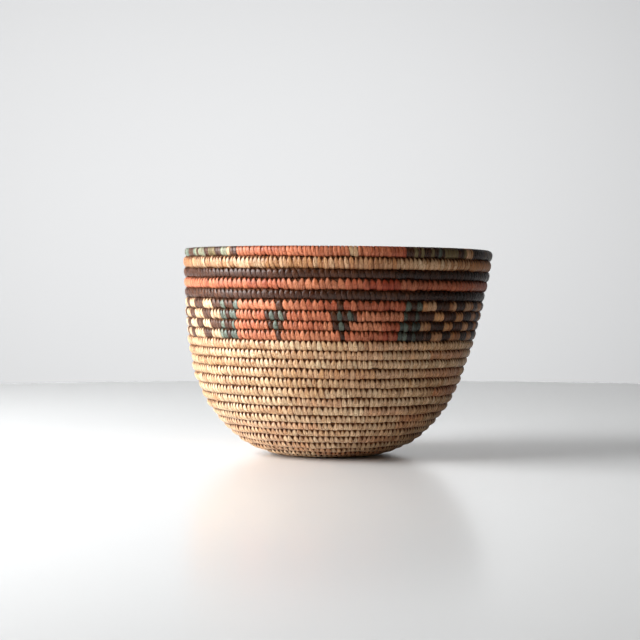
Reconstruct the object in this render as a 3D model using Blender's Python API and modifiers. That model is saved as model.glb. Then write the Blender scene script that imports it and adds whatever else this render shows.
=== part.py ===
# Coiled basket: one grass bundle wound in a spiral from the base to the rim, with splints sewn round it.
# Metres, +Z up. The origin is the middle of the base, on the surface the basket stands on.
# Angles round the basket start at its front (-Y) and grow towards +X; the coil rises the other way round.

import math

import bmesh
import bpy
import numpy as np

# Bowl, measured on the middle of the coil: where it leaves the flat base, and at the rim's highest place
BASE_RADIUS = 0.0279
RIM_RADIUS = 0.0998
WALL_RISE = 0.1321
RIM_LEAN = 0.0067
LEAN_START_HEIGHT = 0.0550
BULGE_SHARE = 0.794
BULGE_POWER_SHARE = 3.83
BULGE_ROOT_SHARE = 0.542

# Coil: its rows and the rows of its tight start share the length of the wall
ROWS = 24
START_ROWS = 2
ROW_GAP = 0.0006
STATIONS_PER_TURN = 18
STATION_SHIFT_SHARE = 0.5
STATION_CLEAR_SHARE = 0.06
COIL_SIDES = 6
PROFILE_STEPS = 2000
START_FLOOR_RINGS = 5
START_STEP_RINGS = 2
MERGE_DISTANCE = 0.00001

# Splint sleeve round the foundation
SPLINT_WALL = 0.0011
SPLINT_CLEARANCE = 0.00035
END_GAP = 0.0003

# Free end of the coil at the back of the rim
TAPER_LENGTH = 0.0600
TAPER_END_SHARE = 0.62

# Rows counted from the rim, and where the colours change, in degrees from the front
PATTERN_ROWS = range(6, 10)
PLAIN_ROWS = {2: "tan", 3: "dark", 4: "terracotta", 5: "dark"}
PANEL_LEFT, PANEL_RIGHT = -39.0, 25.4
BAR_WIDTH = 8.0
RIM_PANEL_LEFT, RIM_PANEL_RIGHT = -39.1, 23.7
BACK = 180.0
FULL_TURN = 360.0

# Finish of each splint: base colour and roughness
FINISHES = {
    "straw": ((0.56, 0.36, 0.18), 0.55),
    "tan": ((0.50, 0.27, 0.13), 0.55),
    "dark": ((0.045, 0.028, 0.020), 0.50),
    "terracotta": ((0.42, 0.13, 0.060), 0.55),
    "teal": ((0.085, 0.12, 0.095), 0.55),
    "cream": ((0.66, 0.46, 0.25), 0.55),
    "grass": ((0.40, 0.27, 0.11), 0.80),
}


def clear_scene():
    for item in list(bpy.data.objects):
        bpy.data.objects.remove(item, do_unlink=True)


def basket_collection():
    collection = bpy.data.collections.new("coiled_basket")
    bpy.context.scene.collection.children.link(collection)
    return collection


def make_finish(name):
    colour, roughness = FINISHES[name]
    material = bpy.data.materials.new(name + "_splint")
    material.use_nodes = True
    shader = material.node_tree.nodes["Principled BSDF"]
    shader.inputs["Base Color"].default_value = (*colour, 1.0)
    shader.inputs["Roughness"].default_value = roughness
    shader.inputs["Metallic"].default_value = 0.0
    return material


class Coil:
    """The spiral that every piece of the basket follows, from the base (0 turns) to the rim."""

    def __init__(self):
        self.trace_profile()
        self.pitch = self.lengths[-1] / (START_ROWS + ROWS)
        side_share = math.cos(math.pi / COIL_SIDES)
        self.sleeve_width = self.pitch - ROW_GAP
        self.sleeve_radius = self.sleeve_width / 2 / side_share
        self.core_radius = self.sleeve_radius - (SPLINT_WALL + SPLINT_CLEARANCE) / side_share
        self.heights += self.sleeve_radius
        self.taper_turns = TAPER_LENGTH / (math.tau * RIM_RADIUS)

    def trace_profile(self):
        """Follow the wall from the base to the rim, closer together where it is flattest."""
        rise = np.linspace(0, 1, PROFILE_STEPS) ** 2
        bulge = (1 - (1 - rise) ** BULGE_POWER_SHARE) ** BULGE_ROOT_SHARE
        spread = BULGE_SHARE * bulge + (1 - BULGE_SHARE) * rise
        self.radii = BASE_RADIUS + (RIM_RADIUS - BASE_RADIUS) * spread
        self.heights = WALL_RISE * rise
        steps = np.hypot(np.diff(self.radii), np.diff(self.heights))
        self.lengths = np.concatenate([[0], np.cumsum(steps)])
        self.slopes = np.arctan2(np.gradient(self.heights), np.gradient(self.radii))

    def length_at(self, turns):
        """How far up the wall the coil is, from the edge of the flat base."""
        return (START_ROWS + turns) * self.pitch

    def wall_point(self, length):
        """Radius, height and slope of the wall there, or of the flat base inside it."""
        radius = np.interp(length, self.lengths, self.radii) + min(length, 0)
        height = np.interp(length, self.lengths, self.heights)
        slope = np.interp(length, self.lengths, self.slopes)
        return radius, height, slope

    def true_point(self, turns):
        """A point on the middle of the coil, with the slope of the wall there."""
        drop = (1 - self.thickness_share(turns)) * self.sleeve_width / 2
        radius, height, slope = self.wall_point(self.length_at(turns) - drop)
        angle = math.radians(BACK) - math.tau * turns
        lean = np.clip((height - LEAN_START_HEIGHT) / (self.heights[-1] - LEAN_START_HEIGHT), 0, 1)
        x = radius * math.sin(angle) + RIM_LEAN * lean
        return np.array([x, -radius * math.cos(angle), height, slope])

    def station(self, index):
        """Turns from the base to one of the stations, where the straight stretches of all pieces meet."""
        return (index + STATION_SHIFT_SHARE) / STATIONS_PER_TURN

    def chord_point(self, turns):
        """The same as true_point, on the straight stretches between the stations."""
        place = turns * STATIONS_PER_TURN - STATION_SHIFT_SHARE
        index = math.floor(place)
        start = self.true_point(self.station(index))
        end = self.true_point(self.station(index + 1))
        return start + (end - start) * (place - index)

    def thickness_share(self, turns):
        """How thick the coil is there: it thins out towards its free end at the rim."""
        left = (ROWS - turns) / self.taper_turns
        return min(1.0, TAPER_END_SHARE + (1 - TAPER_END_SHARE) * left)

    def turns_at(self, row, angle):
        """Turns from the base to an angle in a row counted from the rim, kept clear of the stations."""
        place = (ROWS - row + (BACK - angle) / FULL_TURN) * STATIONS_PER_TURN - STATION_SHIFT_SHARE
        index = round(place)
        if abs(place - index) < STATION_CLEAR_SHARE:
            place = index + math.copysign(STATION_CLEAR_SHARE, place - index)
        return self.station(place)

    def stations_between(self, start, end):
        """The two ends and every station between them."""
        first = math.floor(start * STATIONS_PER_TURN - STATION_SHIFT_SHARE) + 1
        last = math.ceil(end * STATIONS_PER_TURN - STATION_SHIFT_SHARE)
        return [start] + [self.station(index) for index in range(first, last)] + [end]

    def end_gap_turns(self, turns):
        """Half of the gap between two sleeves, as a part of a turn."""
        radius = self.wall_point(self.length_at(turns))[0]
        return END_GAP / 2 / (math.tau * radius)


def make_tube(coil, name, start, end, radius_at, nominal_radius, capped):
    """A six-sided tube along the coil, turned so that its flats face the rows beside it."""
    curve = bpy.data.curves.new(name, "CURVE")
    curve.dimensions = "3D"
    curve.twist_mode = "Z_UP"
    curve.bevel_depth = nominal_radius
    curve.bevel_resolution = (COIL_SIDES - 4) // 2
    curve.use_fill_caps = capped
    places = coil.stations_between(start, end)
    spline = curve.splines.new("POLY")
    spline.points.add(len(places) - 1)
    for point, turns in zip(spline.points, places):
        x, y, z, slope = coil.chord_point(turns)
        point.co = (x, y, z, 1)
        point.radius = radius_at(turns) / nominal_radius
        point.tilt = slope + math.pi / COIL_SIDES
    return bpy.data.objects.new(name, curve)


def make_sleeve(coil, name, start, end, finish):
    """One length of sewn splint: a hollow sleeve round the foundation."""
    start += coil.end_gap_turns(start)
    end -= coil.end_gap_turns(end)

    def radius_at(turns):
        return coil.sleeve_radius * coil.thickness_share(turns)

    sleeve = make_tube(coil, name, start, end, radius_at, coil.sleeve_radius, capped=False)
    wall = sleeve.modifiers.new("splint wall", "SOLIDIFY")
    wall.thickness = SPLINT_WALL
    wall.offset = -1
    wall.use_even_offset = True
    sleeve.data.materials.append(finish)
    return sleeve


def make_foundation(coil, finish):
    """The grass bundle inside every sleeve: one unbroken tube from the base to the rim."""

    def radius_at(turns):
        lost = (1 - coil.thickness_share(turns)) * coil.sleeve_radius
        return coil.core_radius - lost

    end = ROWS - coil.end_gap_turns(ROWS)
    foundation = make_tube(
        coil, "grass_foundation", coil.end_gap_turns(0), end, radius_at, coil.core_radius, capped=True
    )
    foundation.data.materials.append(finish)
    return foundation


def coil_start_lengths(coil, turns, step_start, inset):
    """Where the rings of the coil's start lie at one place round it, from the middle to its edge."""
    edge = coil.length_at(turns) - inset
    floor = [step_start * ring / START_FLOOR_RINGS for ring in range(START_FLOOR_RINGS + 1)]
    step = [step_start + (edge - step_start) * (ring + 1) / START_STEP_RINGS for ring in range(START_STEP_RINGS)]
    return [-BASE_RADIUS] + floor + step


def make_coil_start(coil, finish):
    """The tight middle of the base, a shallow dish whose edge steps out by one row where the coil leaves it."""
    gap_turns = coil.end_gap_turns(0)
    inset = coil.sleeve_width / 2 + ROW_GAP
    corner_share = math.cos(math.pi / STATIONS_PER_TURN)
    step_start = coil.length_at(-gap_turns) - inset
    places = coil.stations_between(-gap_turns, 1 - gap_turns)
    rings = START_FLOOR_RINGS + START_STEP_RINGS + 1
    shell = bmesh.new()
    bmesh.ops.create_grid(shell, x_segments=rings, y_segments=len(places) - 1)
    shell.verts.ensure_lookup_table()
    for row, turns in enumerate(places):
        at_seam = turns in (places[0], places[-1])
        chord_share = corner_share if at_seam else 1
        lengths = coil_start_lengths(coil, turns, step_start, inset if at_seam else inset / corner_share)
        angle = math.radians(BACK) - math.tau * turns
        for ring, length in enumerate(lengths):
            radius, height, slope = coil.wall_point(length)
            radius *= chord_share
            shell.verts[row * len(lengths) + ring].co = (radius * math.sin(angle), -radius * math.cos(angle), height)
    bmesh.ops.remove_doubles(shell, verts=shell.verts, dist=MERGE_DISTANCE)
    bmesh.ops.recalc_face_normals(shell, faces=shell.faces)
    mesh = bpy.data.meshes.new("coil_start")
    shell.to_mesh(mesh)
    shell.free()
    start = bpy.data.objects.new("coil_start", mesh)
    thickness = start.modifiers.new("coil thickness", "SOLIDIFY")
    thickness.thickness = 2 * coil.sleeve_radius
    thickness.offset = 0
    thickness.use_even_offset = True
    mesh.materials.append(finish)
    return start


def rim_runs(coil):
    """Colour runs of the rim row, from where it starts at the back to the coil's free end."""
    corners = [BACK, BACK + RIM_PANEL_LEFT, RIM_PANEL_RIGHT, RIM_PANEL_LEFT, RIM_PANEL_RIGHT - BACK, -BACK]
    names = ["rim_back_start", "rim_right_mixed", "rim_front", "rim_left_mixed", "rim_back_end"]
    colours = ["terracotta", "dark", "terracotta", "teal", "terracotta"]
    for name, colour, first, last in zip(names, colours, corners, corners[1:]):
        yield name, colour, coil.turns_at(1, first), coil.turns_at(1, last)


def pattern_runs(coil):
    """Panels, bars and check stretches of the pattern rows; a back panel runs on into the next row."""
    left_bar, right_bar = PANEL_LEFT - BAR_WIDTH, PANEL_RIGHT + BAR_WIDTH
    corners = [BACK + PANEL_LEFT, BACK + left_bar, right_bar, PANEL_RIGHT, PANEL_LEFT, left_bar,
               right_bar - BACK, PANEL_RIGHT - BACK]
    names = ["bar_back_right", "checks_right", "bar_front_right", "panel_front", "bar_front_left",
             "checks_left", "bar_back_left"]
    colours = ["teal", "cream", "teal", "terracotta", "teal", "cream", "teal"]
    for row in PATTERN_ROWS:
        for name, colour, first, last in zip(names, colours, corners, corners[1:]):
            yield f"{name}_row_{row}", colour, coil.turns_at(row, first), coil.turns_at(row, last)
    low_row, high_row = PATTERN_ROWS[-1], PATTERN_ROWS[0]
    panel_start, panel_end = corners[-1], corners[0]
    yield f"panel_back_start_row_{low_row}", "terracotta", coil.turns_at(low_row, BACK), \
        coil.turns_at(low_row, panel_end)
    for row in range(high_row, low_row):
        yield f"panel_back_row_{row}", "terracotta", coil.turns_at(row + 1, panel_start), \
            coil.turns_at(row, panel_end)
    yield f"panel_back_end_row_{high_row}", "terracotta", coil.turns_at(high_row, panel_start), \
        coil.turns_at(high_row, -BACK)


def plain_runs(coil):
    """Rows sewn in one splint all the way round."""
    for row, colour in PLAIN_ROWS.items():
        yield f"{colour}_row_{row}", colour, coil.turns_at(row, BACK), coil.turns_at(row, -BACK)
    for row in range(PATTERN_ROWS[-1] + 1, ROWS + 1):
        yield f"straw_row_{row}", "straw", coil.turns_at(row, BACK), coil.turns_at(row, -BACK)


def least_gap(points, radii):
    """Least gap from any station to the ones that lie half a turn or more further along."""
    half_turn = STATIONS_PER_TURN // 2
    gap = math.inf
    for step in range(len(points) - half_turn):
        beside = slice(step + half_turn, None)
        apart = np.linalg.norm(points[beside] - points[step], axis=1)
        gap = min(gap, (apart - radii[beside] - radii[step]).min())
    return gap


def print_gaps(coil):
    """Least gap of the foundation, and of the sleeves' flats, to the turn beside it."""
    places = [coil.station(index) for index in range(ROWS * STATIONS_PER_TURN)]
    points = np.array([coil.true_point(turns)[:3] for turns in places])
    thickness = np.array([coil.thickness_share(turns) for turns in places])
    millimetres = 1000
    core_gap = least_gap(points, thickness * coil.core_radius) * millimetres
    row_gap = least_gap(points, thickness * coil.sleeve_width / 2) * millimetres
    print(f"foundation, least gap to itself: {core_gap:.2f} mm")
    print(f"sleeves, least gap between rows: {row_gap:.2f} mm")
    print(f"{ROWS} rows, {coil.pitch * millimetres:.2f} mm apart")


def build():
    clear_scene()
    collection = basket_collection()
    finishes = {name: make_finish(name) for name in FINISHES}
    coil = Coil()
    collection.objects.link(make_foundation(coil, finishes["grass"]))
    collection.objects.link(make_coil_start(coil, finishes["straw"]))
    for runs in (rim_runs(coil), plain_runs(coil), pattern_runs(coil)):
        for name, colour, start, end in runs:
            collection.objects.link(make_sleeve(coil, name, start, end, finishes[colour]))
    print_gaps(coil)


build()
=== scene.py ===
# Coiled basket: every splint stitch of the coil, sewn round its grass bundle, on a pale table.
# Metres, +Z up. Angles round the basket are in degrees from its front (-Y), growing towards +X.
import math

import bpy
import numpy as np
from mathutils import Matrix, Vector


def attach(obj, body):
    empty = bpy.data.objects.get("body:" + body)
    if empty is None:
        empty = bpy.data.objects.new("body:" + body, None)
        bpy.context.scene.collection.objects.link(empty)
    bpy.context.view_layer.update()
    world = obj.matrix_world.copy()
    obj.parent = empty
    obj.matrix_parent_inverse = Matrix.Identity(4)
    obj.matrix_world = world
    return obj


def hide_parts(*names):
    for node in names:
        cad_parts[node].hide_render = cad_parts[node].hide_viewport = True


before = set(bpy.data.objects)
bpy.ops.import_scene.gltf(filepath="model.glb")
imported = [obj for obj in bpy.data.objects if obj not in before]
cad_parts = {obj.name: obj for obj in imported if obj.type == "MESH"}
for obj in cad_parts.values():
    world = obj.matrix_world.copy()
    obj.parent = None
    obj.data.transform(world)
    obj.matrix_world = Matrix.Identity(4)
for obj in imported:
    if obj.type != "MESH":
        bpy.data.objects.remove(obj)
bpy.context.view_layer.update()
rng = np.random.default_rng(24)

bowl = {
    "baseRadius": 0.0279,     # all sizes are to the middle of the coil
    "rimRadius": 0.0998,
    "wallRise": 0.1321,
    "bulge": 0.794,           # how much of the spread follows the round belly
    "bulgePower": 3.83,
    "bulgeRoot": 0.542,
    "lean": 0.0067,           # how far the rim sits to the right of the base
    "leanStart": 0.0550,
    "leanLimit": 1.02,
    "samples": 3000,          # along the wall's outline
    "rows": 24,               # turns of the coil up to the rim
    "startRows": 2,           # turns of the wall that belong to its tight start
    "flatTurns": 4,           # turns in the flat middle
    "taperLength": 0.060,     # the coil thins out at its free end
    "taperEnd": 0.62,
    "waver": 0.00018,         # hand-made unevenness of the coil, and how often it comes
    "waverRates": (23.1, 41.7, 67.3),
    # rows that came out thicker or thinner than the rest, counted from the rim
    "rowShares": {1: 0.95, 2: 1.20, 3: 0.95, 4: 1.08, 5: 1.02, 6: 1.03, 7: 1.03, 8: 0.95, 10: 0.97,
                  11: 0.93, 12: 0.92, 15: 1.06, 17: 1.05, 18: 0.95, 19: 0.95, 20: 0.96, 21: 1.05, 22: 1.10},
    # the rim row thins out on the left: turns before its end, and thickness there
    "rimTurns": (1.1, 0.5, 0.4, 0.3, 0.2, 0.1),
    "rimShares": (1, 0.97, 0.92, 0.84, 0.86, 0.94),
}


def traceWall():
    # lengths up the wall, with the radius, height and slope at each
    rise = np.linspace(0, 1, bowl["samples"]) ** 2
    bulge = (1 - (1 - rise) ** bowl["bulgePower"]) ** bowl["bulgeRoot"]
    spread = bowl["bulge"] * bulge + (1 - bowl["bulge"]) * rise
    radii = bowl["baseRadius"] + (bowl["rimRadius"] - bowl["baseRadius"]) * spread
    heights = bowl["wallRise"] * rise
    lengths = np.concatenate([[0], np.cumsum(np.hypot(np.diff(radii), np.diff(heights)))])
    slopes = np.arctan2(np.gradient(heights), np.gradient(radii))
    return lengths, radii, heights, slopes


def traceRows():
    # at the front of each row: turns of the coil, place up the wall and thickness, as shares of the pitch
    rows = np.arange(bowl["rows"] + bowl["startRows"], 0, -1)
    shares = np.array([bowl["rowShares"].get(int(row), 1.0) for row in rows])
    places = np.cumsum(shares) - shares / 2
    return bowl["rows"] - rows + 0.5, places, shares


wallLengths, wallRadii, wallHeights, wallSlopes = traceWall()
pitch = wallLengths[-1] / (bowl["rows"] + bowl["startRows"])
wallHeights = wallHeights + pitch / 2    # the base turns lie on the table
rowTurns, rowPlaces, rowShares = traceRows()
print(f"coil: {bowl['rows']} rows, {pitch * 1000:.2f} mm apart")


def thickness(turns):
    # the coil's thickness at a turn, as a share of its row's
    left = bowl["rows"] - turns
    lengthLeft = left * math.tau * bowl["rimRadius"]
    taper = bowl["taperEnd"] + (1 - bowl["taperEnd"]) * lengthLeft / bowl["taperLength"]
    rim = np.interp(-left, [-turn for turn in bowl["rimTurns"]], bowl["rimShares"])
    return np.clip(taper, bowl["taperEnd"], 1) * rim


def coilRadius(turns):
    return pitch / 2 * np.interp(turns, rowTurns, rowShares) * thickness(turns)


def coilFrame(turns):
    # middle of the coil, and its outward and up-the-wall directions, for an array of turns
    past = turns - np.clip(turns, rowTurns[0], rowTurns[-1])
    length = pitch * (np.interp(turns, rowTurns, rowPlaces) + past)
    length = length - coilRadius(turns) * (1 / thickness(turns) - 1)
    slope = np.where(length > 0, np.interp(length, wallLengths, wallSlopes), 0)
    above = np.maximum(length - wallLengths[-1], 0)
    radius = np.interp(length, wallLengths, wallRadii) + np.minimum(length, 0) + above * np.cos(slope)
    height = np.interp(length, wallLengths, wallHeights) + above * np.sin(slope)
    angle = math.pi - math.tau * turns
    zero = np.zeros_like(angle)
    radial = np.stack([np.sin(angle), -np.cos(angle), zero], -1)
    upright = np.stack([zero, zero, zero + 1], -1)
    up = radial * np.cos(slope)[..., None] + upright * np.sin(slope)[..., None]
    out = radial * np.sin(slope)[..., None] - upright * np.cos(slope)[..., None]
    leanHeight = wallHeights[-1] - bowl["leanStart"]
    lean = np.clip((height - bowl["leanStart"]) / leanHeight, 0, bowl["leanLimit"])
    middle = radial * radius[..., None] + upright * height[..., None]
    middle[..., 0] += bowl["lean"] * lean
    uneven = sum(np.sin(turns * rate + shift) for shift, rate in enumerate(bowl["waverRates"]))
    middle += out * (bowl["waver"] * uneven * (height > pitch))[..., None]
    return middle, out, up, np.maximum(radius, pitch / 4)


# Colours: what a stitch is dyed, by its row from the rim and its place round the basket

pattern = {  # one half of the band; it repeats every half turn
    "rows": (6, 9),
    "repeat": 180.0,
    "panel": (-39.0, 25.4),
    "bar": 8.0,
    "barDyes": ("teal", "dark", "teal"),    # outwards from the panel
    "checkPairs": 8,
    "creamShare": 0.51,
    "motifs": (-21.0, 2.9),    # the middle of each little cross, and the dyes of its stitches by row
    "motifDyes": {6: ("dark",), 7: ("dark", "teal", "dark", "teal", "dark"),
                  8: ("dark", "teal", "dark"), 9: ("dark",)},
}
plainRows = {2: "tan", 3: "dark", 4: "terracotta", 5: "dark"}
rimRuns = [  # where each colour of the rim starts, from left to right in degrees
    (-180, "mixed"), (-90, "teal"), (-72.4, "brown"), (-68.4, "teal"), (-64.8, "brown"),
    (-60.8, "paleTeal"), (-56.9, "brown"), (-54.2, "olive"), (-50.8, "brown"), (-46.7, "paleTeal"),
    (-43.3, "cream"), (-42.1, "dark"), (-39.1, "terracotta"), (2.7, "straw"), (5.6, "terracotta"),
    (23.7, "dark"), (29.1, "olive"), (31.1, "dark"), (35.9, "teal"), (39.2, "dark"),
    (42.0, "olive"), (45.8, "dark"), (50.3, "tan"), (56.5, "dark"), (84, "mixed"),
]
rimPieces = [  # where each CAD length of the rim ends
    (-156.3, "rim_back_end"), (-39.1, "rim_left_mixed"), (23.7, "rim_front"),
    (140.9, "rim_right_mixed"), (181, "rim_back_start"),
]
mixedDyes = ("brown", "dark", "teal", "cream", "paleTeal", "olive", "tan", "dark")
mixedRun = 5    # stitches that one of them lasts for
rimMottle = {  # odd stitches in the mixed lengths of the rim: how many, and which dye stands in for which
    "share": 0.12,
    "dyes": {"brown": "paleTeal", "dark": "olive", "teal": "brown", "tan": "olive", "cream": "paleTeal"},
}


def rimColour(angle):
    return [colour for start, colour in rimRuns if start <= angle][-1]


def bandColour(row, angle):
    # panels, bars and checks; the little crosses are laid over them later
    left, right = pattern["panel"]
    place = (angle + 90) % pattern["repeat"] - 90
    if left <= place < right:
        return "terracotta"
    beyond = max(left - place, place - right)
    if beyond < pattern["bar"]:
        return pattern["barDyes"][int(beyond / pattern["bar"] * len(pattern["barDyes"]))]
    stretch = pattern["repeat"] - (right - left) - 2 * pattern["bar"]
    step = (place - right - pattern["bar"]) % pattern["repeat"] / stretch * pattern["checkPairs"]
    cream = step % 1 < pattern["creamShare"] if row % 2 == 0 else step % 1 >= 1 - pattern["creamShare"]
    return "cream" if cream else "brown"


def pieceName(row, angle):
    # the CAD node that holds this place of this row
    left, right = pattern["panel"]
    top, bottom = pattern["rows"]
    bar = pattern["bar"]
    if row > bowl["rows"]:
        return "coil_start"
    if row == 1:
        return next(name for corner, name in rimPieces if angle < corner)
    if row in plainRows:
        return f"{plainRows[row]}_row_{row}"
    if row > bottom:
        return f"straw_row_{row}"
    corners = [(right - 180, None), (right - 180 + bar, "bar_back_left"), (left - bar, "checks_left"),
               (left, "bar_front_left"), (right, "panel_front"), (right + bar, "bar_front_right"),
               (180 + left - bar, "checks_right"), (180 + left, "bar_back_right"), (181, "back")]
    name = next(name for corner, name in corners if angle < corner)
    if name is None:
        return f"panel_back_end_row_{top}" if row == top else f"panel_back_row_{row - 1}"
    if name == "back":
        return f"panel_back_start_row_{bottom}" if row == bottom else f"panel_back_row_{row}"
    return f"{name}_row_{row}"


# Stitches

stitch = {
    "widths": {1: 0.0026, 2: 0.0029, 3: 0.0038, 4: 0.0038, 5: 0.0038, 6: 0.0038,
               7: 0.0030, 8: 0.0030, 9: 0.0030},
    "width": 0.0032,          # rows of bare straw
    "ring": 20,               # points round the coil
    "ringPowers": (0.92, 0.80),    # how square its loop is, up the wall and through it
    "across": (-1, -0.8, -0.45, 0, 0.45, 0.8, 1),
    "crown": 0.00040,         # how far the middle of a splint stands up
    "edgeDrop": 0.58,         # its edges stand up this much less
    "edgePower": 3.0,
    "endDrop": 0.4,           # it stands up this much less at its top and foot
    "endLift": 0.6,
    "skew": 0.30,             # how far a splint lies over to one side
    "sink": 0.0003,           # its back is pressed into the grass
    "depthShare": 0.92,       # half the coil's thickness through the wall, of half its pitch
    "topInset": 0.0003,       # stitches stop short of the next row up
    "bite": 0.0008,           # and reach down into the row below
    "topStart": 0.12,         # where they start to narrow, of the way to the top
    "topNarrowing": 0.85,
    "strawNarrowing": 0.74,   # rows of bare straw are sewn closer
    "topPower": 1.0,
    "footNarrowing": 0.20,
    "footStart": 0.60,
    "overlap": 1.10,
    "slant": 0.00028,
    "slantSwell": 0.4,        # neighbouring stitches slant alike, this much
    "slantRate": 31,
    "lean": 0.00050,          # every stitch leans over the way the coil runs
    "bow": 0.00012,
    "unevenWidth": 0.11,
    "unevenCrown": 0.15,
    "unevenTop": 0.00022,
    "unevenFoot": 0.00020,
    "footLimit": 0.0004,
    "rimCrown": 0.75,         # the rim is sewn flatter and closer
    "rimNarrowing": 0.25,
    "tableGap": 0.0001,       # the base is worn flat where it stands
    "edgeGroove": 0.7,        # dirt and painted shade: how dark its edges are, and its top and foot
    "endGroove": 0.8,
    "endGrooveStart": 0.62,
    "grainShift": 0.0137,     # no two stitches have the same fibres
    "splintRun": 15,          # stitches that one splint lasts for
    "runTone": 0.50,          # share of the tone that the stitches of a splint have in common
    "blushRun": 12,
    "blushPower": 3,
    "blushScatter": 0.25,
    "paintedLightLeftBlush": 0.6,         # painted light: the blush is cut on the lit left, so the basket is less red there
    "paintedLightDrift": 0.50,            # painted light and shade: dyed rows are paler on the lit left and deeper on the shaded right, row 2 deeper towards both sides
    # rows that were dyed paler or deeper than the rest (1 and 4); rows 19 to 24 are made paler as painted
    # light from below
    "rowDepthsAndPaintedLight": {1: -0.15, 4: 0.20, 19: -0.10, 20: -0.15, 21: -0.20, 22: -0.20, 23: -0.20, 24: -0.20},
}


def placeStitches():
    # every stitch of the coil, from the middle of the base to the rim
    rows, turns, widths = [], [], []
    for row in range(bowl["rows"] + bowl["startRows"] + bowl["flatTurns"], 0, -1):
        start = bowl["rows"] - row
        radius = float(coilFrame(np.array([start + 0.5]))[3][0])
        count = round(math.tau * radius / stitch["widths"].get(row, stitch["width"]))
        sizes = 1 + stitch["unevenWidth"] * rng.standard_normal(count).clip(-2, 2)
        sizes /= sizes.sum()
        turns.append(start + np.cumsum(sizes) - sizes / 2)
        widths.append(sizes * math.tau * radius)
        rows.append(np.full(count, row))
    return np.concatenate(rows), np.concatenate(turns), np.concatenate(widths)


def smoothRuns(count, length):
    # one value for each splint, held for as many stitches as it lasts
    values = []
    while len(values) < count:
        values += [rng.random()] * max(3, round(rng.normal(length, length / 3)))
    return np.array(values[:count])


def superCosine(angle, power):
    return np.sign(np.cos(angle)) * np.abs(np.cos(angle)) ** power


def stitchPoints(rows, turns, widths):
    # rings round the coil, one for each stitch: (stitch, place round the coil, place across the splint)
    count = len(turns)
    onRim = (rows == 1)[:, None]
    phi = np.arange(stitch["ring"]) * math.tau / stitch["ring"]
    edges = np.array(stitch["across"])
    across = np.append(edges, 0)
    upPower, outPower = stitch["ringPowers"]
    sine, cosine = superCosine(phi - math.pi / 2, upPower), superCosine(phi, outPower)
    half = coilRadius(turns)[:, None]
    topUneven = rng.normal(0, stitch["unevenTop"], count)[:, None]
    top = half - np.where(onRim, 0, stitch["topInset"] + topUneven)
    footUneven = rng.normal(0, stitch["unevenFoot"], count).clip(-stitch["footLimit"], stitch["footLimit"])
    foot = half + stitch["bite"] + footUneven[:, None]
    up = np.where(sine > 0, top, foot) * sine
    out = half * stitch["depthShare"] * cosine
    towardsTop = np.clip((sine - stitch["topStart"]) / (1 - stitch["topStart"]), 0, 1) ** stitch["topPower"]
    onStraw = (rows > pattern["rows"][1])[:, None]
    topNarrowing = np.where(onStraw, stitch["strawNarrowing"], stitch["topNarrowing"])
    narrow = 1 - np.where(onRim, stitch["rimNarrowing"], topNarrowing) * towardsTop
    towardsFoot = np.clip((-sine - stitch["footStart"]) / (1 - stitch["footStart"]), 0, 1)
    narrow = narrow - stitch["footNarrowing"] * towardsFoot
    crown = stitch["crown"] * (1 + stitch["unevenCrown"] * rng.standard_normal((count, 1)))
    crown = crown * np.where(onRim, stitch["rimCrown"], 1)
    skew = stitch["skew"] * rng.uniform(-1, 1, (count, 1))
    crest = 1 - stitch["edgeDrop"] * np.abs(edges) ** stitch["edgePower"] + skew * edges * (1 - edges ** 2)
    lift = (crown * crest)[:, None, :] * (1 - stitch["endDrop"] * np.abs(sine) ** 4)[:, None]
    lift = np.concatenate([lift, np.full((count, stitch["ring"], 1), -stitch["sink"])], -1)
    outward = out[..., None] + lift * np.cos(phi)[:, None]
    upward = up[..., None] + lift * np.sin(phi)[:, None] * stitch["endLift"]
    slant = rng.normal(stitch["lean"], stitch["slant"], count)
    slant = slant + stitch["slantSwell"] * stitch["slant"] * np.sin(turns * stitch["slantRate"])
    bow = rng.normal(0, stitch["bow"], count)
    aside = (widths[:, None] / 2 * stitch["overlap"] * narrow)[..., None] * across
    aside = aside + slant[:, None, None] * np.sin(phi)[:, None] + bow[:, None, None] * np.cos(phi)[:, None]
    radius = coilFrame(turns)[3][:, None, None]
    middle, outDir, upDir, _ = coilFrame(turns[:, None, None] + aside / (math.tau * radius))
    points = middle + outDir * outward[..., None] + upDir * upward[..., None]
    points[..., 2] = np.maximum(points[..., 2], stitch["tableGap"])
    shift = (np.arange(count) * stitch["grainShift"])[:, None, None]
    along = phi[:, None] * pitch / 2
    grainPlace = np.stack(np.broadcast_arrays(aside, along, shift), -1)
    # dirt and painted shade: darker at the splint's edges and towards its top and foot
    grooveStart = stitch["endGrooveStart"]
    ends = np.clip((np.abs(sine) - grooveStart) / (1 - grooveStart), 0, 1)[:, None]
    groove = stitch["edgeGroove"] * np.abs(across) ** 3 + stitch["endGroove"] * ends
    return points, grainPlace, np.broadcast_to(np.clip(groove, 0, 1), aside.shape)


def meshFromArrays(name, points, quads, finishNumbers=None):
    mesh = bpy.data.meshes.new(name)
    mesh.vertices.add(len(points))
    mesh.vertices.foreach_set("co", points.astype(np.float32).ravel())
    mesh.loops.add(quads.size)
    mesh.loops.foreach_set("vertex_index", quads.astype(np.int32).ravel())
    mesh.polygons.add(len(quads))
    mesh.polygons.foreach_set("loop_start", (np.arange(len(quads)) * 4).astype(np.int32))
    if finishNumbers is not None:
        mesh.polygons.foreach_set("material_index", finishNumbers.astype(np.int32))
    mesh.update(calc_edges=True)
    mesh.validate()
    mesh.shade_smooth()
    piece = bpy.data.objects.new(name, mesh)
    bpy.context.scene.collection.objects.link(piece)
    return piece


def addValues(piece, name, kind, values):
    layer = piece.data.attributes.new(name, kind, "POINT")
    field = "color" if kind == "FLOAT_COLOR" else "vector"
    layer.data.foreach_set(field, values.astype(np.float32).ravel())


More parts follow.
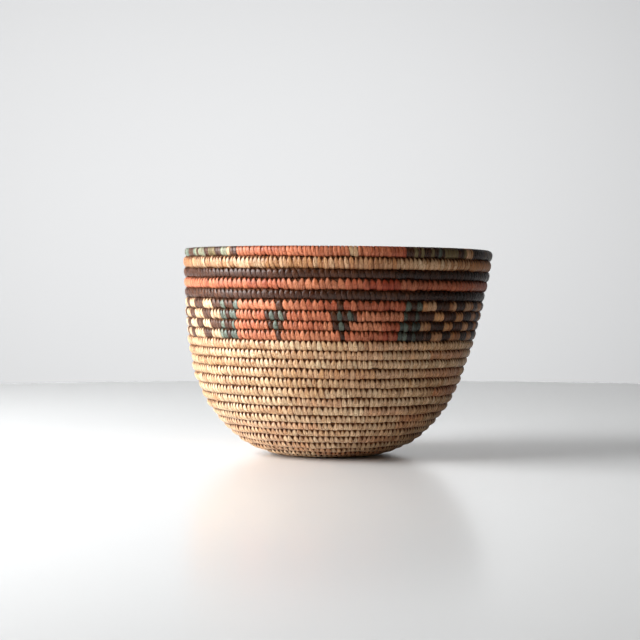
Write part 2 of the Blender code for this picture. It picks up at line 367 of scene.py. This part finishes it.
def stitchColours(rows, angles):
    mixed = (smoothRuns(len(rows), mixedRun) * len(mixedDyes)).astype(int)
    odd = rng.random(len(rows)) < rimMottle["share"]
    colours = []
    for row, angle, dyeNumber, isOdd in zip(rows, angles, mixed, odd):
        if row == 1:
            colour = rimColour(angle)
            colour = mixedDyes[dyeNumber] if colour == "mixed" else colour
            colours.append(rimMottle["dyes"].get(colour, colour) if isOdd else colour)
        elif pattern["rows"][0] <= row <= pattern["rows"][1]:
            colours.append(bandColour(row, angle))
        else:
            colours.append(plainRows.get(row, "straw"))
    for row, motif in pattern["motifDyes"].items():
        for middle in pattern["motifs"]:
            for turned in (0, pattern["repeat"]):
                away = np.abs((angles - middle - turned + 180) % 360 - 180) + 360 * (rows != row)
                first = int(np.argmin(away)) - len(motif) // 2
                colours[first:first + len(motif)] = motif
    return np.array(colours)


def sewBasket(finishes):
    rows, turns, widths = placeStitches()
    count = len(turns)
    points, grainPlace, groove = stitchPoints(rows, turns, widths)
    angles = 180 - (turns % 1) * 360
    runTone = stitch["runTone"]
    tone = runTone * smoothRuns(count, stitch["splintRun"]) + (1 - runTone) * rng.random(count)
    across = np.sin(np.radians(angles))
    # painted light and shade: dyed rows are paler on the lit left and deeper on the shaded right
    paintedLightDrift = stitch["paintedLightDrift"] * np.where(rows == 2, np.abs(across), across) * (rows <= pattern["rows"][1])
    # rows 19 to 24 paler: painted light from below
    tone = (tone + paintedLightDrift + [stitch["rowDepthsAndPaintedLight"].get(row, 0) for row in rows]).clip(0, 1)
    blush = smoothRuns(count, stitch["blushRun"]) ** stitch["blushPower"]
    blush = blush + stitch["blushScatter"] * rng.random(count)
    # painted light: less blush on the left, where the light falls
    blush = blush * (1 - stitch["paintedLightLeftBlush"] * (-across).clip(0, 1))
    values = np.stack([tone, blush, rng.random(count)], -1)[:, None, None, :]
    tones = np.concatenate([np.broadcast_to(values, groove.shape + (3,)), groove[..., None]], -1)
    colours = stitchColours(rows, angles)
    names = np.array([pieceName(row, angle) for row, angle in zip(rows, angles)])
    for name in dict.fromkeys(names):
        chosen = np.flatnonzero(names == name)
        used = list(dict.fromkeys(colours[chosen]))
        numbers = np.array([used.index(colour) for colour in colours[chosen]])
        corner = np.arange(groove[chosen].size).reshape(groove[chosen].shape)
        ahead, beside = np.roll(corner, -1, 1), np.roll(corner, -1, 2)
        quads = np.stack([corner, beside, np.roll(ahead, -1, 2), ahead], -1).reshape(-1, 4)
        piece = meshFromArrays(f"{name}_stitches", points[chosen].reshape(-1, 3), quads,
                               np.repeat(numbers, corner[0].size))
        for colour in used:
            piece.data.materials.append(finishes[colour])
        addValues(piece, "stitchTone", "FLOAT_COLOR", tones[chosen].reshape(-1, 4))
        addValues(piece, "fibrePlace", "FLOAT_VECTOR", grainPlace[chosen].reshape(-1, 3))
        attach(piece, "root")
        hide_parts(name)
    print(f"stitches: {count} in {len(set(names))} pieces")


# The grass bundle inside, seen only between the tops of the stitches, coloured near black-brown as painted
# shade down in the notches

bundle = {
    "depthShare": 0.66,       # half its thickness through the wall, of half the coil's
    "topGap": 0.00045,        # it stops short of the next row up
    "bite": 0.0006,           # and beds into the row below
    "ring": 12,
    "samplesPerTurn": 120,
    "grainSpread": 0.5,
    # painted shade: far darker than the grass itself, for the shade between the stitches
    "colours": ((0.048, 0.014, 0.004, 1), (0.19, 0.064, 0.019, 1)),
    "roughness": 0.85,
    "bumpHeight": 0.0002,
}


def layBundle(finish):
    start = bowl["startRows"] + bowl["flatTurns"]
    samples = np.linspace(-start, bowl["rows"] - 0.001, (bowl["rows"] + start) * bundle["samplesPerTurn"])
    phi = np.arange(bundle["ring"]) * math.tau / bundle["ring"]
    middle, out, up, _ = coilFrame(samples[:, None] * np.ones_like(phi))
    size = np.repeat(coilRadius(samples)[:, None], bundle["ring"], 1)
    size[[0, -1]] = 0    # both ends are closed
    points = middle + out * (size * bundle["depthShare"] * np.cos(phi))[..., None]
    ends = np.where(np.sin(phi) > 0, -bundle["topGap"], bundle["bite"])
    height = np.maximum(size + ends * (size > 0), 0)
    points = points + up * (height * np.sin(phi))[..., None]
    corner = np.arange(size.size).reshape(size.shape)
    beside = np.roll(corner, -1, 1)
    quads = np.stack([corner[:-1], beside[:-1], beside[1:], corner[1:]], -1).reshape(-1, 4)
    piece = meshFromArrays("grass_bundle", points.reshape(-1, 3), quads)
    piece.data.materials.append(finish)
    along = samples[:, None] * bundle["grainSpread"]
    place = np.stack([size * 0 + phi * pitch / 2, size * 0 + along, size * 0], -1)
    addValues(piece, "fibrePlace", "FLOAT_VECTOR", place.reshape(-1, 3))
    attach(piece, "root")
    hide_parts("grass_foundation")
    print("grass bundle laid")


# Finishes

dyes = {  # pale, deep and blush colours of each splint, its roughness and its gloss
    "straw": ((0.93, 0.76, 0.50), (0.60, 0.35, 0.145), (0.64, 0.24, 0.095), 0.30, 0.65),
    "tan": ((0.97, 0.82, 0.56), (0.49, 0.24, 0.085), (0.62, 0.24, 0.095), 0.30, 0.5),
    "dark": ((0.120, 0.042, 0.014), (0.014, 0.0055, 0.003), (0.080, 0.024, 0.010), 0.20, 0.32),
    "terracotta": ((0.72, 0.255, 0.130), (0.33, 0.038, 0.011), (0.76, 0.34, 0.18), 0.28, 0.30),
    "teal": ((0.24, 0.32, 0.26), (0.010, 0.018, 0.015), (0.05, 0.06, 0.045), 0.24, 0.42),
    "paleTeal": ((0.31, 0.36, 0.26), (0.20, 0.24, 0.16), (0.26, 0.25, 0.13), 0.34, 0.45),
    "cream": ((0.93, 0.75, 0.50), (0.35, 0.135, 0.036), (0.78, 0.42, 0.17), 0.34, 0.5),
    "brown": ((0.150, 0.068, 0.036), (0.020, 0.009, 0.005), (0.090, 0.032, 0.015), 0.22, 0.32),
    "olive": ((0.28, 0.24, 0.105), (0.11, 0.085, 0.038), (0.18, 0.12, 0.05), 0.34, 0.35),
}
fibre = {
    "acrossScale": 1500.0,
    "alongScale": 60.0,
    "detail": 3.0,
    "breakup": 0.62,
    "contrast": (0.38, 0.62),
    "colour": 0.9,            # how far the gaps between fibres darken a splint
    "gapTint": (0.42, 0.27, 0.16, 1),
    "bump": 0.8,
    "bumpHeight": 0.00016,
    "roughness": (-0.06, 0.30),    # of the fibres and of the gaps, past the splint's own
}
dyeing = {
    "blush": 0.62,
    "leastShade": 0.85,       # stitches differ a little in lightness
    "shadeSpread": 0.30,
    "groove": 0.85,           # dirt and painted shade between the stitches
    "grooveTint": (0.36, 0.155, 0.075, 1),
}


def newGroup(name, inputs, outputs):
    group = bpy.data.node_groups.new(name, "ShaderNodeTree")
    for socket, kind, value in inputs:
        made = group.interface.new_socket(socket, in_out="INPUT", socket_type=kind)
        made.default_value = value
    for socket, kind in outputs:
        group.interface.new_socket(socket, in_out="OUTPUT", socket_type=kind)
    return group, group.nodes.new("NodeGroupInput"), group.nodes.new("NodeGroupOutput")


def mixColour(group, blend, factor, first, second):
    node = group.nodes.new("ShaderNodeMix")
    node.data_type = "RGBA"
    node.blend_type = blend
    for socket, source in zip((node.inputs[0], node.inputs[6], node.inputs[7]), (factor, first, second)):
        if isinstance(source, bpy.types.NodeSocket):
            group.links.new(source, socket)
        else:
            socket.default_value = source
    return node.outputs[2]


def mathNode(group, operation, first, second):
    node = group.nodes.new("ShaderNodeMath")
    node.operation = operation
    for socket, source in zip(node.inputs, (first, second)):
        if isinstance(source, bpy.types.NodeSocket):
            group.links.new(source, socket)
        else:
            socket.default_value = source
    return node.outputs[0]


def fibreGrainGroup():
    # fine lengthwise fibres of a split leaf, from each splint's own across and along places
    group, start, end = newGroup("fibreGrain", [("Across Scale", "NodeSocketFloat", fibre["acrossScale"]),
                                                ("Along Scale", "NodeSocketFloat", fibre["alongScale"])],
                                 [("Streaks", "NodeSocketFloat"), ("Height", "NodeSocketFloat")])
    place = group.nodes.new("ShaderNodeAttribute")
    place.attribute_name = "fibrePlace"
    scale = group.nodes.new("ShaderNodeCombineXYZ")
    stretched = group.nodes.new("ShaderNodeVectorMath")
    stretched.operation = "MULTIPLY"
    group.links.new(start.outputs["Across Scale"], scale.inputs["X"])
    group.links.new(start.outputs["Along Scale"], scale.inputs["Y"])
    group.links.new(start.outputs["Across Scale"], scale.inputs["Z"])
    group.links.new(place.outputs["Vector"], stretched.inputs[0])
    group.links.new(scale.outputs["Vector"], stretched.inputs[1])
    noise = group.nodes.new("ShaderNodeTexNoise")
    noise.inputs["Scale"].default_value = 1.0
    noise.inputs["Detail"].default_value = fibre["detail"]
    noise.inputs["Roughness"].default_value = fibre["breakup"]
    group.links.new(stretched.outputs["Vector"], noise.inputs["Vector"])
    contrast = group.nodes.new("ShaderNodeMapRange")
    contrast.inputs["From Min"].default_value = fibre["contrast"][0]
    contrast.inputs["From Max"].default_value = fibre["contrast"][1]
    group.links.new(noise.outputs["Fac"], contrast.inputs["Value"])
    group.links.new(contrast.outputs["Result"], end.inputs["Streaks"])
    group.links.new(noise.outputs["Fac"], end.inputs["Height"])
    return group


def splintDyeAndShadeGroup():
    # one splint's colour: its own tone with painted light and shade across the basket, a blush here and
    # there, fibres, and dirt and painted shade down in the grooves
    group, start, end = newGroup("splintDyeAndPaintedShade", [("Pale", "NodeSocketColor", (1, 1, 1, 1)),
                                               ("Deep", "NodeSocketColor", (1, 1, 1, 1)),
                                               ("Blush", "NodeSocketColor", (1, 1, 1, 1)),
                                               ("Streaks", "NodeSocketFloat", 0.5),
                                               ("Fibre Amount", "NodeSocketFloat", fibre["colour"]),
                                               ("Groove Amount", "NodeSocketFloat", dyeing["groove"])],
                                 [("Colour", "NodeSocketColor"), ("Groove", "NodeSocketFloat")])
    tone = group.nodes.new("ShaderNodeAttribute")
    tone.attribute_name = "stitchTone"
    split = group.nodes.new("ShaderNodeSeparateColor")
    group.links.new(tone.outputs["Color"], split.inputs["Color"])
    colour = mixColour(group, "MIX", split.outputs["Red"], start.outputs["Pale"], start.outputs["Deep"])
    colour = mixColour(group, "MIX", mathNode(group, "MULTIPLY", split.outputs["Green"], dyeing["blush"]),
                       colour, start.outputs["Blush"])
    spread = mathNode(group, "MULTIPLY", split.outputs["Blue"], dyeing["shadeSpread"])
    lightness = mathNode(group, "ADD", spread, dyeing["leastShade"])
    colour = mixColour(group, "MULTIPLY", 1.0, colour, lightness)
    fibreShade = mathNode(group, "MULTIPLY", mathNode(group, "SUBTRACT", 1.0, start.outputs["Streaks"]),
                          start.outputs["Fibre Amount"])
    colour = mixColour(group, "MULTIPLY", fibreShade, colour, fibre["gapTint"])
    # dirt and painted shade down in the grooves
    grooveDirtAndShade = mathNode(group, "MULTIPLY", tone.outputs["Alpha"], start.outputs["Groove Amount"])
    colour = mixColour(group, "MULTIPLY", grooveDirtAndShade, colour, dyeing["grooveTint"])
    group.links.new(colour, end.inputs["Colour"])
    group.links.new(tone.outputs["Alpha"], end.inputs["Groove"])
    return group


def splintFinish(name, grain, dyeAndShade):
    pale, deep, blush, roughness, gloss = dyes[name]
    material = bpy.data.materials.new(f"{name}Splint")
    material.use_nodes = True
    nodes, links = material.node_tree.nodes, material.node_tree.links
    shader = nodes["Principled BSDF"]
    fibres, colour = nodes.new("ShaderNodeGroup"), nodes.new("ShaderNodeGroup")
    fibres.node_tree, colour.node_tree = grain, dyeAndShade
    for socket, value in (("Pale", pale), ("Deep", deep), ("Blush", blush)):
        colour.inputs[socket].default_value = (*value, 1)
    links.new(fibres.outputs["Streaks"], colour.inputs["Streaks"])
    links.new(colour.outputs["Colour"], shader.inputs["Base Color"])
    shader.inputs["Specular IOR Level"].default_value = gloss
    rough = nodes.new("ShaderNodeMapRange")
    rough.inputs["To Min"].default_value = roughness + fibre["roughness"][0]
    rough.inputs["To Max"].default_value = roughness + fibre["roughness"][1]
    links.new(fibres.outputs["Streaks"], rough.inputs["Value"])
    links.new(rough.outputs["Result"], shader.inputs["Roughness"])
    bump = nodes.new("ShaderNodeBump")
    bump.inputs["Strength"].default_value = fibre["bump"]
    bump.inputs["Distance"].default_value = fibre["bumpHeight"]
    links.new(fibres.outputs["Height"], bump.inputs["Height"])
    links.new(bump.outputs["Normal"], shader.inputs["Normal"])
    return material


def grassFinish(grain):
    material = bpy.data.materials.new("driedGrassPaintedShade")
    material.use_nodes = True
    nodes, links = material.node_tree.nodes, material.node_tree.links
    shader, fibres = nodes["Principled BSDF"], nodes.new("ShaderNodeGroup")
    fibres.node_tree = grain
    ramp = nodes.new("ShaderNodeValToRGB")
    for element, colour in zip(ramp.color_ramp.elements, bundle["colours"]):
        element.color = colour
    links.new(fibres.outputs["Streaks"], ramp.inputs["Fac"])
    links.new(ramp.outputs["Color"], shader.inputs["Base Color"])
    shader.inputs["Roughness"].default_value = bundle["roughness"]
    bump = nodes.new("ShaderNodeBump")
    bump.inputs["Distance"].default_value = bundle["bumpHeight"]
    links.new(fibres.outputs["Height"], bump.inputs["Height"])
    links.new(bump.outputs["Normal"], shader.inputs["Normal"])
    return material


# Table, light and camera

studio = {
    "tableRadius": 0.98, "tableEdge": 0.012, "legRadius": 0.30, "floorHeight": -0.72,
    "wallRadius": 2.6, "sweepRadius": 0.6, "wallHeight": 2.4,
    "edgeSteps": 9, "sweepSteps": 12, "roundSteps": 128,
    "wallColour": (0.12, 0.12, 0.12), "wallRoughness": 0.9,
    "tableColour": (0.83, 0.83, 0.83), "tableRoughness": 0.22,
    "world": (1.0, 0.85, 0.70), "worldStrength": 0.01,
    "lights": {
        "key": {"place": (-1.02, -0.24, 0.50), "target": (0, 0, 0.05), "size": 0.95, "power": 38.0,
                "colour": (0.98, 0.995, 1.0)},
        "top": {"place": (-0.75, 0.75, 1.35), "target": (0, 0, 0.06), "size": 1.3, "power": 4.0,
                "colour": (0.97, 0.99, 1.0)},
        "backWall": {"place": (-0.15, 1.3, 0.35), "target": (-0.15, 2.6, 0.35), "size": 1.5, "power": 142.0,
                     "colour": (0.98, 0.99, 1.0)},
        "leftWall": {"place": (-1.45, -0.3, -0.5), "target": (-2.6, -0.5, 1.15), "size": 1.5, "power": 110.0,
                     "colour": (0.98, 0.99, 1.0)},
        "rightWall": {"place": (1.15, -1.0, -0.5), "target": (2.0, -1.7, 1.0), "size": 1.5, "power": 72.0,
                      "colour": (1.0, 0.74, 0.50)},
    },
}


def makeStage():
    # a round table on a pale floor, with a pale wall all round
    edge, floor, sweep = studio["tableEdge"], studio["floorHeight"], studio["sweepRadius"]
    top, wall = studio["tableRadius"] - edge, studio["wallRadius"] - sweep
    table = [(0, 0)] + [(top + edge * math.sin(angle), edge * (math.cos(angle) - 1))
                        for angle in np.linspace(0, math.pi, studio["edgeSteps"])]
    table += [(studio["legRadius"], -2 * edge), (studio["legRadius"], floor)]
    room = [(0, floor)] + [(wall + sweep * math.sin(angle), floor + sweep * (1 - math.cos(angle)))
                           for angle in np.linspace(0, math.pi / 2, studio["sweepSteps"])]
    room.append((studio["wallRadius"], studio["wallHeight"]))
    for name, profile in (("table", table), ("wall", room)):
        mesh = bpy.data.meshes.new(name)
        mesh.from_pydata([(x, 0, z) for x, z in profile], [(i, i + 1) for i in range(len(profile) - 1)], [])
        stage = bpy.data.objects.new(name, mesh)
        bpy.context.scene.collection.objects.link(stage)
        turn = stage.modifiers.new("turn", "SCREW")
        turn.steps = turn.render_steps = studio["roundSteps"]
        turn.use_merge_vertices = True
        turn.merge_threshold = 0.0001
        turn.use_smooth_shade = True
        material = bpy.data.materials.new(f"pale{name.title()}")
        material.use_nodes = True
        shader = material.node_tree.nodes["Principled BSDF"]
        shader.inputs["Base Color"].default_value = (*studio[f"{name}Colour"], 1)
        shader.inputs["Roughness"].default_value = studio[f"{name}Roughness"]
        mesh.materials.append(material)
    print("table set")


def lightStudio():
    world = bpy.data.worlds.new("studio")
    bpy.context.scene.world = world
    world.use_nodes = True
    background = world.node_tree.nodes["Background"]
    background.inputs["Color"].default_value = (*studio["world"], 1)
    background.inputs["Strength"].default_value = studio["worldStrength"]
    for name, light in studio["lights"].items():
        data = bpy.data.lights.new(name, "AREA")
        data.size, data.energy, data.color = light["size"], light["power"], light["colour"]
        lamp = bpy.data.objects.new(name, data)
        bpy.context.scene.collection.objects.link(lamp)
        lamp.location = light["place"]
        aim = Vector(light["target"]) - lamp.location
        lamp.rotation_euler = aim.to_track_quat("-Z", "Y").to_euler()
        lamp.visible_camera = False
    bpy.context.scene.view_settings.view_transform = "Standard"
    print("studio lit")


camera = {  # read from the photograph, whose frame is 640 pixels wide
    "frame": 640, "focalPixels": 1800, "sensor": 36,
    "distance": 1.2, "height": 0.109, "side": -0.0057, "downDegrees": 0.955,
}


def placeCamera():
    data = bpy.data.cameras.new("camera")
    data.sensor_width = camera["sensor"]
    data.lens = data.sensor_width * camera["focalPixels"] / camera["frame"]
    lens = bpy.data.objects.new("camera", data)
    bpy.context.scene.collection.objects.link(lens)
    lens.location = (camera["side"], -camera["distance"], camera["height"])
    lens.rotation_euler = (math.radians(90 - camera["downDegrees"]), 0, 0)
    bpy.context.scene.camera = lens


placeCamera()
makeStage()
lightStudio()
grain, dyeAndShade = fibreGrainGroup(), splintDyeAndShadeGroup()
sewBasket({name: splintFinish(name, grain, dyeAndShade) for name in dyes})
layBundle(grassFinish(grain))
